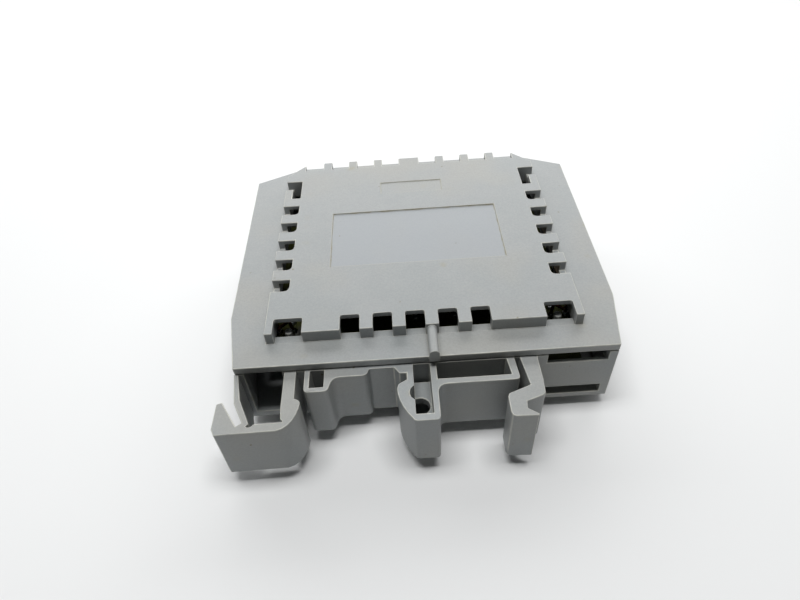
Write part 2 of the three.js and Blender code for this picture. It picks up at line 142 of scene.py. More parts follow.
# Polyamide, injection moulded in an eroded tool: an even satin grey with faint clouds, a fine grain, edges
# rubbed paler, olive dirt in small specks and soft smudges, and along the steps of the recesses a dark olive
# line that is painted shade of the step walls with some dirt in it
housingLook = {
    "colour": "#929595",
    "warm": "#959590",
    "dusty": "#8D9191",
    "worn": "#C2C2B8",
    "wear": 0.9,
    # colour of the line along the recess steps: painted shade of the step walls, with dirt in it
    "stepShadeAndDirt": "#7F7A64",
    "ior": 1.53,
    "cloud": 7 * mm,
    "patch": 2.2 * mm,
    "grain": 0.3 * mm,          # the real grain is finer than 0.1 mm, drawn coarser so that it shows
    "grainHeight": 0.012 * mm,
    "roughness": 0.42,
    # soft smudges and small specks: core and edge of a spot as shares of the spacing, and the share of
    # the places that stay clean
    "spots": [
        {"colour": "#8E8B78", "spacing": 5.5 * mm, "core": 0.02, "edge": 0.2, "clean": 0.35, "strength": 0.7},
        {"colour": "#6A6244", "spacing": 2.6 * mm, "core": 0.03, "edge": 0.1, "clean": 0.6, "strength": 1.0},
    ],
    "spotBend": 1.2 * mm,       # how far the outline of a spot wanders
    # shallow recesses in the top face, in mm from the middle in X and from the front wall in Y, each with its
    # tint and share inside and the strength of the painted step shade and dirt along its edge
    "recesses": [
        {"x": (-15.2, 15.3), "y": (19.36, 34.31), "tint": "#8F9499", "share": 0.6, "stepShadeAndDirt": 0.85},
        {"x": (-6.0, 6.0), "y": (40.0, 43.6), "tint": "#929595", "share": 0.0, "stepShadeAndDirt": 0.5},
    ],
    "line": 0.2 * mm,           # width of the line of painted step shade and dirt along a recess
    "lineWobble": 0.06 * mm,
    "recessFade": 0.05 * mm,
    "topFace": (0.6 * mm, 0.4 * mm),    # depths below the top over which the recesses' look fades in
}


def mouldedPolyamide(name, look):
    material, tree, shader = newMaterial(name, {"IOR": look["ior"]})
    place = addNode(tree, "ShaderNodeTexCoord").outputs["Object"]
    axes = addNode(tree, "ShaderNodeSeparateXYZ", {0: place}).outputs
    perCloud, perPatch, perGrain = 1 / look["cloud"], 1 / look["patch"], 1 / look["grain"]
    cloud = addNode(tree, "ShaderNodeTexNoise", {"Vector": place, "Scale": perCloud, "Detail": 4.0})
    patch = addNode(tree, "ShaderNodeTexNoise", {"Vector": place, "Scale": perPatch, "Detail": 3.0})
    broad = addNode(tree, "ShaderNodeTexNoise", {"Vector": place, "Scale": 0.4 * perCloud, "Detail": 2.0})
    grain = addNode(tree, "ShaderNodeTexNoise", {"Vector": place, "Scale": perGrain, "Detail": 2.0})

    dusty, clean = linear(look["dusty"]), linear(look["colour"])
    share = addNode(tree, "ShaderNodeMapRange", {0: cloud, 1: 0.35, 2: 0.68}, interpolation_type="SMOOTHSTEP")
    tone = addNode(tree, "ShaderNodeMix", {0: share, 6: dusty, 7: clean}, data_type="RGBA")
    limits = {0: broad, 1: 0.46, 2: 0.7, 4: 0.7}
    share = addNode(tree, "ShaderNodeMapRange", limits, interpolation_type="SMOOTHSTEP")
    tone = addNode(tree, "ShaderNodeMix", {0: share, 6: tone, 7: linear(look["warm"])}, data_type="RGBA")
    shade = addNode(tree, "ShaderNodeMapRange", {0: grain, 1: 0.3, 2: 0.7, 3: 0.93, 4: 1.03})
    tone = addNode(tree, "ShaderNodeVectorMath", {0: tone, "Scale": shade}, operation="SCALE")
    smooth, matt = look["roughness"] - 0.05, look["roughness"] + 0.06
    rough = addNode(tree, "ShaderNodeMapRange", {0: cloud, 1: 0.3, 2: 0.7, 3: smooth, 4: matt})

    worn = addNode(tree, "ShaderNodeAttribute", attribute_name="wornEdge").outputs["Fac"]
    wear = look["wear"]
    share = addNode(tree, "ShaderNodeMapRange", {0: patch, 1: 0.3, 2: 0.7, 3: 0.25 * wear, 4: wear})
    worn = addNode(tree, "ShaderNodeMath", {0: worn, 1: share}, operation="MULTIPLY")
    tone = addNode(tree, "ShaderNodeMix", {0: worn, 6: tone, 7: linear(look["worn"])}, data_type="RGBA")

    below, above = (cadHigh.z - depth for depth in look["topFace"])
    onTop = addNode(tree, "ShaderNodeMapRange", {0: axes[2], 1: below, 2: above})
    sway = look["lineWobble"]
    wobble = addNode(tree, "ShaderNodeMapRange", {0: patch, 1: 0.2, 2: 0.8, 3: -sway, 4: sway})
    for recess in look["recesses"]:
        gaps = []
        for axis, run, start in ((axes[0], recess["x"], 0.0), (axes[1], recess["y"], wallFront)):
            low, high = (start + value * mm for value in run)
            off = addNode(tree, "ShaderNodeMath", {0: axis, 1: (low + high) / 2}, operation="SUBTRACT")
            off = addNode(tree, "ShaderNodeMath", {0: off}, operation="ABSOLUTE")
            gaps.append(addNode(tree, "ShaderNodeMath", {0: off, 1: (high - low) / 2}, operation="SUBTRACT"))
        outside = addNode(tree, "ShaderNodeMath", {0: gaps[0], 1: gaps[1]}, operation="MAXIMUM")
        fade = {0: outside, 1: -look["recessFade"], 2: 0.0, 3: recess["share"], 4: 0.0}
        inside = addNode(tree, "ShaderNodeMapRange", fade)
        inside = addNode(tree, "ShaderNodeMath", {0: inside, 1: onTop}, operation="MULTIPLY")
        tint = linear(recess["tint"])
        tone = addNode(tree, "ShaderNodeMix", {0: inside, 6: tone, 7: tint}, data_type="RGBA")
        smoother = addNode(tree, "ShaderNodeMath", {0: inside, 1: -0.05}, operation="MULTIPLY")
        rough = addNode(tree, "ShaderNodeMath", {0: rough, 1: smoother}, operation="ADD")
        # a dark olive line round each recess: painted shade of the step wall with some dirt, uneven along its
        # length
        near = addNode(tree, "ShaderNodeMath", {0: outside, 1: wobble}, operation="ADD")
        near = addNode(tree, "ShaderNodeMath", {0: near}, operation="ABSOLUTE")
        line = addNode(tree, "ShaderNodeMapRange", {0: near, 1: 0.0, 2: look["line"], 3: 1.0, 4: 0.0})
        uneven = {0: patch, 1: 0.38, 2: 0.62, 3: 0.15, 4: recess["stepShadeAndDirt"]}
        streak = addNode(tree, "ShaderNodeMapRange", uneven)
        line = addNode(tree, "ShaderNodeMath", {0: line, 1: streak}, operation="MULTIPLY")
        line = addNode(tree, "ShaderNodeMath", {0: line, 1: onTop}, operation="MULTIPLY")
        tone = addNode(tree, "ShaderNodeMix", {0: line, 6: tone, 7: linear(look["stepShadeAndDirt"])}, data_type="RGBA")

    bend = {0: patch.outputs["Color"], "Scale": look["spotBend"]}
    bent = addNode(tree, "ShaderNodeVectorMath", bend, operation="SCALE")
    bent = addNode(tree, "ShaderNodeVectorMath", {0: place, 1: bent}, operation="ADD")
    for kind in look["spots"]:
        cell = addNode(tree, "ShaderNodeTexVoronoi", {"Vector": bent, "Scale": 1 / kind["spacing"]})
        chosen = addNode(tree, "ShaderNodeSeparateColor", {0: cell.outputs["Color"]}).outputs[0]
        few = {0: chosen, 1: kind["clean"], 2: 1.0, 4: kind["strength"]}
        chosen = addNode(tree, "ShaderNodeMapRange", few)
        fade = {0: cell.outputs["Distance"], 1: kind["core"], 2: kind["edge"], 3: 1.0, 4: 0.0}
        spot = addNode(tree, "ShaderNodeMapRange", fade, interpolation_type="SMOOTHSTEP")
        spot = addNode(tree, "ShaderNodeMath", {0: spot, 1: chosen}, operation="MULTIPLY")
        tone = addNode(tree, "ShaderNodeMix", {0: spot, 6: tone, 7: linear(kind["colour"])}, data_type="RGBA")

    deep = look["grainHeight"]
    height = addNode(tree, "ShaderNodeMath", {0: grain, 1: deep}, operation="MULTIPLY")
    waves = addNode(tree, "ShaderNodeMath", {0: patch, 1: 2 * deep, 2: height}, operation="MULTIPLY_ADD")
    bump = addNode(tree, "ShaderNodeBump", {"Height": waves, "Strength": 0.5, "Distance": 1.0})
    tree.links.new(tone.outputs[2], shader.inputs["Base Color"])
    tree.links.new(rough.outputs[0], shader.inputs["Roughness"])
    tree.links.new(bump.outputs[0], shader.inputs["Normal"])
    return material


def platedMetal(name, bright, dull, roughness, patch=1.2 * mm, width=0.12 * mm, depth=0.006 * mm):
    # metal that is plated, soldered or bare: duller patches, and fine scratches that run along Y, of the
    # given width and depth
    material, tree, shader = newMaterial(name, {"Metallic": 1.0})
    place = addNode(tree, "ShaderNodeTexCoord").outputs["Object"]
    blotch = addNode(tree, "ShaderNodeTexNoise", {"Vector": place, "Scale": 1 / patch, "Detail": 4.0})
    share = addNode(tree, "ShaderNodeMapRange", {0: blotch, 1: 0.35, 2: 0.7}, interpolation_type="SMOOTHSTEP")
    tone = addNode(tree, "ShaderNodeMix", {0: share, 6: linear(bright), 7: linear(dull)}, data_type="RGBA")
    drawn = addNode(tree, "ShaderNodeMapping", {"Vector": place, "Scale": (1.0, 0.12, 1.0)})
    scratch = addNode(tree, "ShaderNodeTexNoise", {"Vector": drawn, "Scale": 1 / width, "Detail": 2.0})
    smooth, matt = roughness - 0.08, roughness + 0.12
    rough = addNode(tree, "ShaderNodeMapRange", {0: scratch, 1: 0.3, 2: 0.7, 3: smooth, 4: matt})
    height = addNode(tree, "ShaderNodeMath", {0: scratch, 1: depth}, operation="MULTIPLY")
    bump = addNode(tree, "ShaderNodeBump", {"Height": height, "Strength": 0.4, "Distance": 1.0})
    tree.links.new(tone.outputs[2], shader.inputs["Base Color"])
    tree.links.new(rough.outputs[0], shader.inputs["Roughness"])
    tree.links.new(bump.outputs[0], shader.inputs["Normal"])
    return material


def coatedBody(
    name, colour, cloudy, roughness, patch=1.5 * mm, skin=0.01 * mm, ior=1.5, bands=(), across="along"
):
    # resin, lacquer or film over a body: a soft change of tone and a slightly uneven skin; bands are
    # (from, to, colour) on the attribute that across names, which runs from 0 to 1 over the body
    material, tree, shader = newMaterial(name, {"IOR": ior})
    place = addNode(tree, "ShaderNodeTexCoord").outputs["Object"]
    cloud = addNode(tree, "ShaderNodeTexNoise", {"Vector": place, "Scale": 1 / patch, "Detail": 4.0})
    share = addNode(tree, "ShaderNodeMapRange", {0: cloud, 1: 0.35, 2: 0.68}, interpolation_type="SMOOTHSTEP")
    tone = addNode(tree, "ShaderNodeMix", {0: share, 6: linear(colour), 7: linear(cloudy)}, data_type="RGBA")
    if bands:
        run = addNode(tree, "ShaderNodeAttribute", attribute_name=across).outputs["Fac"]
        for start, end, bandColour in bands:
            off = addNode(tree, "ShaderNodeMath", {0: run, 1: (start + end) / 2}, operation="SUBTRACT")
            off = addNode(tree, "ShaderNodeMath", {0: off}, operation="ABSOLUTE")
            band = addNode(tree, "ShaderNodeMath", {0: off, 1: (end - start) / 2}, operation="LESS_THAN")
            tone = addNode(tree, "ShaderNodeMix", {0: band, 6: tone, 7: linear(bandColour)}, data_type="RGBA")
    smooth, matt = roughness - 0.05, roughness + 0.08
    rough = addNode(tree, "ShaderNodeMapRange", {0: cloud, 1: 0.3, 2: 0.7, 3: smooth, 4: matt})
    fine = addNode(tree, "ShaderNodeTexNoise", {"Vector": place, "Scale": 4 / patch, "Detail": 2.0})
    height = addNode(tree, "ShaderNodeMath", {0: fine, 1: skin}, operation="MULTIPLY")
    bump = addNode(tree, "ShaderNodeBump", {"Height": height, "Strength": 0.4, "Distance": 1.0})
    tree.links.new(tone.outputs[2], shader.inputs["Base Color"])
    tree.links.new(rough.outputs[0], shader.inputs["Roughness"])
    tree.links.new(bump.outputs[0], shader.inputs["Normal"])
    return material


def glassLaminate(name, mask, dark, yarn, patch=6 * mm, relief=0.015 * mm):
    # woven glass laminate under an olive solder mask: the weave shows through as a fine check
    material, tree, shader = newMaterial(name, {"IOR": 1.52})
    place = addNode(tree, "ShaderNodeTexCoord").outputs["Object"]
    weave = {"Vector": place, "Scale": math.pi / (10 * yarn), "Distortion": 0.6}
    warp = addNode(tree, "ShaderNodeTexWave", weave, bands_direction="X").outputs[1]
    weft = addNode(tree, "ShaderNodeTexWave", weave, bands_direction="Y").outputs[1]
    check = addNode(tree, "ShaderNodeMath", {0: warp, 1: weft}, operation="MULTIPLY")
    cloud = addNode(tree, "ShaderNodeTexNoise", {"Vector": place, "Scale": 1 / patch, "Detail": 3.0})
    share = addNode(tree, "ShaderNodeMapRange", {0: check, 1: 0.2, 2: 0.9, 4: 0.45})
    tone = addNode(tree, "ShaderNodeMix", {0: share, 6: linear(mask), 7: linear(dark)}, data_type="RGBA")
    share = addNode(tree, "ShaderNodeMapRange", {0: cloud, 1: 0.35, 2: 0.7, 4: 0.4})
    tone = addNode(tree, "ShaderNodeMix", {0: share, 6: tone, 7: linear(dark)}, data_type="RGBA")
    rough = addNode(tree, "ShaderNodeMapRange", {0: cloud, 1: 0.3, 2: 0.7, 3: 0.3, 4: 0.45})
    height = addNode(tree, "ShaderNodeMath", {0: check, 1: relief}, operation="MULTIPLY")
    bump = addNode(tree, "ShaderNodeBump", {"Height": height, "Strength": 0.5, "Distance": 1.0})
    tree.links.new(tone.outputs[2], shader.inputs["Base Color"])
    tree.links.new(rough.outputs[0], shader.inputs["Roughness"])
    tree.links.new(bump.outputs[0], shader.inputs["Normal"])
    return material


terminalLook = {**housingLook, "colour": "#7E8282", "warm": "#84837E", "dusty": "#75797B", "recesses": []}
finishes = {
    "housing_plastic": mouldedPolyamide("polyamideMouldedGrey", housingLook),
    "terminal_plastic": mouldedPolyamide("polyamideMouldedDark", terminalLook),
    "zinc_steel": platedMetal("steelZincPlated", "#C9CCCE", "#9EA3A6", 0.3),
    "tinned_brass": platedMetal("brassTinned", "#CBC5AE", "#A39B7C", 0.34),
    "bare_copper": platedMetal("copperBareDull", "#8C6047", "#57402F", 0.42),
    "board_laminate": glassLaminate("laminateOliveMask", "#4F5328", "#2F3319", 0.35 * mm),
    "black_epoxy": coatedBody("epoxyMouldedBlack", "#232325", "#18181A", 0.5),
    "sleeve_film": coatedBody(
        "pvcSleeveShrunk",
        "#22344F",
        "#1A283F",
        0.32,
        3 * mm,
        ior=1.54,
        bands=[(0.12, 0.26, "#A9AFB4")],
        across="around",
    ),
    "disc_lacquer": coatedBody("epoxyDippedBlue", "#2F62A2", "#274F86", 0.34, 1.8 * mm, 0.05 * mm),
    "resistor_lacquer": coatedBody(
        "lacquerDippedBeige",
        "#CDAE80",
        "#BC9A6A",
        0.4,
        1.2 * mm,
        0.03 * mm,
        bands=[
            (0.2, 0.28, "#5B3216"),
            (0.36, 0.44, "#1B1A19"),
            (0.52, 0.6, "#A8372A"),
            (0.74, 0.82, "#A98A3C"),
        ],
    ),
    "lens_acrylic": coatedBody("acrylicTintedRed", "#A3211B", "#8C1712", 0.15, 2 * mm, 0.004 * mm, ior=1.49),
}
bandedEpoxy = coatedBody("epoxyMouldedBanded", "#232325", "#18181A", 0.45, bands=[(0.74, 0.88, "#B4B6B6")])
solderTin = platedMetal("solderTinDull", "#B9BCBE", "#8A8D8F", 0.34, 0.6 * mm)
print("materials made:", len(finishes) + 2)


def newPiece(name, mesh):
    piece = bpy.data.objects.new(name, mesh)
    bpy.context.scene.collection.objects.link(piece)
    return piece


def plainMesh(piece):
    # what the modifiers make, as a plain mesh without them
    made = bpy.data.meshes.new_from_object(piece.evaluated_get(bpy.context.evaluated_depsgraph_get()))
    piece.modifiers.clear()
    piece.data = made
    return piece


def finishPiece(piece, body, slotName, *replaced, material=None):
    piece.data.materials.clear()
    piece.data.materials.append(material or finishes[slotName])
    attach(piece, body)
    if replaced:
        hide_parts(*replaced)


def newTree(name, sizes):
    # a geometry tree with a named input for each size, and the sockets that its inputs arrive on
    tree = bpy.data.node_groups.new(name, "GeometryNodeTree")
    tree.interface.new_socket("Geometry", in_out="OUTPUT", socket_type="NodeSocketGeometry")
    tree.interface.new_socket("Geometry", in_out="INPUT", socket_type="NodeSocketGeometry")
    for label, kind in sizes.items():
        tree.interface.new_socket(label, in_out="INPUT", socket_type="NodeSocket" + kind)
    tree.interface.new_socket("Finish", in_out="INPUT", socket_type="NodeSocketMaterial")
    return tree, addNode(tree, "NodeGroupInput").outputs


def closeTree(tree, given, geometry):
    real = addNode(tree, "GeometryNodeRealizeInstances", {0: geometry})
    real = addNode(tree, "GeometryNodeSetMaterial", {"Geometry": real, "Material": given["Finish"]})
    addNode(tree, "NodeGroupOutput", {0: real})


def grow(piece, tree, material, **sizes):
    # runs a geometry tree on a piece and keeps its result as a plain mesh
    modifier = piece.modifiers.new(tree.name, "NODES")
    modifier.node_group = tree
    values = {"Finish": material, **sizes}
    for socket in tree.interface.items_tree:
        if socket.in_out == "INPUT" and socket.name in values:
            modifier[socket.identifier] = values[socket.name]
    return plainMesh(piece)


def pathTree():
    # bent wire: sweeps a round section along each edge path, with its corners rounded
    tree, given = newTree("wireAlongPath", {"Wire radius": "Float", "Bend radius": "Float", "Facets": "Int"})
    path = addNode(tree, "GeometryNodeMeshToCurve", {0: given["Geometry"]})
    corner = {"Curve": path, "Radius": given["Bend radius"], "Count": 5, "Limit Radius": True}
    path = addNode(tree, "GeometryNodeFilletCurve", corner, mode="POLY")
    size = {"Resolution": given["Facets"], "Radius": given["Wire radius"]}
    section = addNode(tree, "GeometryNodeCurvePrimitiveCircle", size)
    sweep = {"Curve": path, "Profile Curve": section, "Fill Caps": True}
    closeTree(tree, given, addNode(tree, "GeometryNodeCurveToMesh", sweep))
    return tree


def threadTree():
    # screw thread: a ridge wound round the shank, which lies along Y
    sizes = {"Core radius": "Float", "Ridge": "Float", "Pitch": "Float", "Length": "Float", "Start": "Vector"}
    tree, given = newTree("threadRoundShank", sizes)
    turns = addNode(tree, "ShaderNodeMath", {0: given["Length"], 1: given["Pitch"]}, operation="DIVIDE")
    spiral = addNode(
        tree,
        "GeometryNodeCurveSpiral",
        {
            "Resolution": 20,
            "Rotations": turns,
            "Start Radius": given["Core radius"],
            "End Radius": given["Core radius"],
            "Height": given["Length"],
        },
    )
    section = addNode(tree, "GeometryNodeCurvePrimitiveCircle", {"Resolution": 4, "Radius": given["Ridge"]})
    sweep = {"Curve": spiral, "Profile Curve": section, "Fill Caps": True}
    ridge = addNode(tree, "GeometryNodeCurveToMesh", sweep)
    turned = {"Geometry": ridge, "Rotation": (-math.pi / 2, 0, 0), "Translation": given["Start"]}
    ridge = addNode(tree, "GeometryNodeTransform", turned)
    both = addNode(tree, "GeometryNodeJoinGeometry")
    tree.links.new(ridge.outputs[0], both.inputs[0])
    tree.links.new(given["Geometry"], both.inputs[0])
    closeTree(tree, given, both)
    return tree


def solderTree():
    # solder joints: a flared cone on each point, no two quite the same size
    sizes = {"Joint radius": "Float", "Joint height": "Float", "Seed": "Int"}
    tree, given = newTree("solderOnPoints", sizes)
    foot = given["Joint radius"]
    top = addNode(tree, "ShaderNodeMath", {0: foot, 1: 0.35}, operation="MULTIPLY")
    flare = {"Vertices": 14, "Radius Top": top, "Radius Bottom": foot, "Depth": given["Joint height"]}
    cone = addNode(tree, "GeometryNodeMeshCone", flare)
    cone = addNode(tree, "GeometryNodeSetShadeSmooth", {"Geometry": cone})
    spread = {2: 0.85, 3: 1.12, "Seed": given["Seed"]}
    size = addNode(tree, "FunctionNodeRandomValue", spread, data_type="FLOAT")
    placed = {"Points": given["Geometry"], "Instance": cone, "Scale": size.outputs[1]}
    closeTree(tree, given, addNode(tree, "GeometryNodeInstanceOnPoints", placed))
    return tree


def ribTree():
    # clamping ribs: short round bars across X, one step after another from a start point
    sizes = {"Count": "Int", "Start": "Vector", "Step": "Vector"}
    sizes.update({"Rib radius": "Float", "Rib length": "Float"})
    tree, given = newTree("ribsInRow", sizes)
    places = {"Count": given["Count"], "Start Location": given["Start"], "Offset": given["Step"]}
    row = addNode(tree, "GeometryNodeMeshLine", places, mode="OFFSET")
    bar = {"Vertices": 8, "Radius": given["Rib radius"], "Depth": given["Rib length"]}
    rib = addNode(tree, "GeometryNodeMeshCylinder", bar)
    rib = addNode(tree, "GeometryNodeTransform", {"Geometry": rib, "Rotation": (0, math.pi / 2, 0)})
    ribs = addNode(tree, "GeometryNodeInstanceOnPoints", {"Points": row, "Instance": rib})
    both = addNode(tree, "GeometryNodeJoinGeometry")
    tree.links.new(ribs.outputs[0], both.inputs[0])
    tree.links.new(given["Geometry"], both.inputs[0])
    closeTree(tree, given, both)
    return tree


wireAlongPath = pathTree()
threadRoundShank = threadTree()
solderOnPoints = solderTree()
ribsInRow = ribTree()
print("geometry trees made")


rounding = {
    "mergeWithin": 0.0005 * mm,
    "flatWithin": 0.5,      # degrees between triangles that are merged into one face
    "level": 0.99999,       # cosine between neighbours that lie in one plane
    "sharpFrom": 28,        # degrees between two faces that make an edge
    "shareOfRoom": 0.42,    # of the shortest edge that meets it and of the narrowest land beside it
    "least": 0.06,          # of the full width
    "segments": 2,
}


def cleanCopy(nodeName, pieceName):
    # a copy of a CAD mesh with its triangles merged back into flat faces
    shape = bmesh.new()
    shape.from_mesh(nodes[nodeName].data)
    bmesh.ops.remove_doubles(shape, verts=shape.verts, dist=rounding["mergeWithin"])
    bmesh.ops.dissolve_limit(
        shape,
        angle_limit=math.radians(rounding["flatWithin"]),
        use_dissolve_boundaries=False,
        verts=shape.verts,
        edges=shape.edges,
    )
    mesh = bpy.data.meshes.new(pieceName)
    shape.to_mesh(mesh)
    shape.free()
    return newPiece(pieceName, mesh)


def fillFlats(mesh):
    # neighbours that lie in one plane are filled again from their outline, so that no inner edge of a flat
    # face crosses the rounding beside it
    shape = bmesh.new()
    shape.from_mesh(mesh)
    waiting = {face for face in shape.faces if face.material_index == 0}
    regions = []
    while waiting:
        front = [waiting.pop()]
        region = set(front)
        while front:
            face = front.pop()
            beside = {other for edge in face.edges for other in edge.link_faces} & waiting
            level = {other for other in beside if other.normal.dot(face.normal) > rounding["level"]}
            waiting -= level
            region |= level
            front += level
        if len(region) > 1:
            regions.append(region)
    for region in regions:
        normal = max(region, key=lambda face: face.calc_area()).normal.copy()
        edges = {edge for face in region for edge in face.edges}
        inner = {edge for edge in edges if region.issuperset(edge.link_faces)}
        rim = list(edges - inner)
        bmesh.ops.delete(shape, geom=list(region), context="FACES_ONLY")
        bmesh.ops.delete(shape, geom=list(inner), context="EDGES")
        bmesh.ops.triangle_fill(shape, edges=rim, normal=normal, use_beauty=True, use_dissolve=True)
    shape.to_mesh(mesh)
    shape.free()


def gapBetween(edge, other):
    # distance between two edges of one flat face that do not meet
    gaps = []
    for one, two in ((edge, other), (other, edge)):
        start, end = (vertex.co for vertex in two.verts)
        for vertex in one.verts:
            nearest, share = intersect_point_line(vertex.co, start, end)
            gaps.append((vertex.co - start.lerp(end, min(1.0, max(0.0, share)))).length)
    return min(gaps)


def roundEdges(piece, width):
    # every sharp edge gets a small radius, less where there is little room, and the strips carry wornEdge 1
    shape = bmesh.new()
    shape.from_mesh(piece.data)
    weights = shape.edges.layers.float.new("bevel_weight_edge")
    sharp = {edge for edge in shape.edges if edge.calc_face_angle(0) >= math.radians(rounding["sharpFrom"])}
    for edge in sharp:
        meeting = {other for vertex in edge.verts for other in vertex.link_edges}
        apart = {other for face in edge.link_faces for other in face.edges} & sharp - meeting
        gaps = [other.calc_length() for other in meeting] + [gapBetween(edge, other) for other in apart]
        room = min(gaps) * rounding["shareOfRoom"]
        edge[weights] = max(rounding["least"], min(1.0, room / width))
    shape.to_mesh(piece.data)
    shape.free()
    piece.data.materials.append(None)
    piece.data.materials.append(None)
    bevel = piece.modifiers.new("edgeRounding", "BEVEL")
    bevel.limit_method = "WEIGHT"
    bevel.width = width
    bevel.segments = rounding["segments"]
    bevel.use_clamp_overlap = False
    bevel.material = 1
    plainMesh(piece)
    fillFlats(piece.data)
    worn = piece.data.attributes.new("wornEdge", "FLOAT", "FACE")
    worn.data.foreach_set("value", [float(p.material_index == 1) for p in piece.data.polygons])
    for polygon in piece.data.polygons:
        polygon.material_index = 0
    return piece


def smoothFlats(piece):
    # flat faces stay flat and the strips between them shade round
    piece.data.shade_smooth()
    weighted = piece.modifiers.new("flatShading", "WEIGHTED_NORMAL")
    weighted.keep_sharp = False
    return plainMesh(piece)


roundedPieces = {
    "base_shell": ("base_shell_moulding", 0.15 * mm),
    "side_cover": ("side_cover_moulding", 0.15 * mm),
    "terminal_body_left": ("terminal_body_left_moulding", 0.12 * mm),
    "terminal_body_right": ("terminal_body_right_moulding", 0.12 * mm),
    "circuit_board": ("circuit_board_panel", 0.06 * mm),
    "power_relay": ("power_relay_case", 0.3 * mm),
    "status_lens": ("status_lens_moulding", 0.15 * mm),
    **{f"contact_strip_{i}": (f"contact_strip_{i}_stamping", 0.07 * mm) for i in range(1, 9)},
}
for nodeName, (pieceName, radius) in roundedPieces.items():
    piece = smoothFlats(roundEdges(cleanCopy(nodeName, pieceName), radius))
    finishPiece(piece, nodeBody[nodeName], nodeSlot[nodeName], nodeName)
print("rounded pieces made:", len(roundedPieces))

latch = {
    "radius": 0.15 * mm,
    "rootInside": 0.25 * mm,    # how far the roots of the arms reach into the wall
    "bendLength": 5.0 * mm,     # the stretch, from the wall outwards, where the real arms bend; the code only cuts them into slices over it
    "cuts": 12,
    "slack": 0.01 * mm,         # what still counts as the level of the roots
}


def makeLatch(c):
    piece = cleanCopy("foot_latch", "foot_latch_moulding")
    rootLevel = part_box("foot_latch")[1].y
    for vertex in piece.data.vertices:
        if vertex.co.y > rootLevel - c["slack"]:
            vertex.co.y = wallFront + c["rootInside"]
    roundEdges(piece, c["radius"])
    shape = bmesh.new()
    shape.from_mesh(piece.data)
    for i in range(c["cuts"]):
        level = wallFront - c["bendLength"] * (i + 0.5) / c["cuts"]
        everything = shape.verts[:] + shape.edges[:] + shape.faces[:]
        bmesh.ops.bisect_plane(shape, geom=everything, plane_co=(0, level, 0), plane_no=(0, 1, 0), dist=1e-7)
    shape.to_mesh(piece.data)
    shape.free()
    smoothFlats(piece)
    piece.data.materials.clear()
    piece.data.materials.append(finishes["housing_plastic"])
    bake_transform(piece)
    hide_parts("foot_latch")


makeLatch(latch)
print("foot latch made")


def turnedMesh(name, profile, centre, axis, facets):
    # a closed turned body: profile lists (distance along the axis from centre, radius) from end to end, and
    # the attributes along and around run from 0 to 1 over it
    turn = Matrix.Rotation(math.pi / 2, 3, "Y") if axis == "X" else Matrix.Rotation(-math.pi / 2, 3, "X")
    first, last = profile[0][0], profile[-1][0]
    shape = bmesh.new()
    along = shape.verts.layers.float.new("along")
    around = shape.verts.layers.float.new("around")
    rings = []
    for distance, radius in profile:
        ring = []
        for i in range(facets if radius else 1):
            angle = 2 * math.pi * i / facets
            spoke = Vector((radius * math.cos(angle), radius * math.sin(angle), distance))
            vertex = shape.verts.new(centre + turn @ spoke)
            vertex[along] = (distance - first) / (last - first)
            vertex[around] = i / facets
            ring.append(vertex)
        rings.append(ring)
    for low, high in zip(rings, rings[1:]):
        for i in range(facets):
            j = (i + 1) % facets
            corners = [low[i % len(low)], low[j % len(low)], high[j % len(high)], high[i % len(high)]]
            shape.faces.new(list(dict.fromkeys(corners)))
    bmesh.ops.recalc_face_normals(shape, faces=shape.faces)
    mesh = bpy.data.meshes.new(name)
    shape.to_mesh(mesh)
    shape.free()
    mesh.shade_smooth()
    mesh.set_sharp_from_angle(angle=math.radians(40))
    return mesh


def pathMesh(name, routes):
    # loose edges along each route, for the tree that sweeps a wire along them
    points = [point for route in routes for point in route]
    edges = []
    for route in routes:
        start = edges[-1][1] + 1 if edges else 0
        edges += [(start + i, start + i + 1) for i in range(len(route) - 1)]
    mesh = bpy.data.meshes.new(name)
    mesh.from_pydata(points, edges, [])
    return mesh


screw = {
    "head": 1.5 * mm,           # length of the head
    "headTaper": 0.2 * mm,
    "edge": 0.12 * mm,
    "shankRadius": 1.25 * mm,
    "pitch": 0.45 * mm,
    "ridge": 0.13 * mm,
    "threadInset": 3,           # in edges, at each end of the shank
    "slotWidth": 0.6 * mm,
    "slotDepth": 0.7 * mm,
    "rim": [(2, 0.25), (0.5, -0.5), (0, -1.6)],     # depth below the top and step outwards, in edges
    "facets": 36,
    "sharpFrom": 35,            # degrees
}


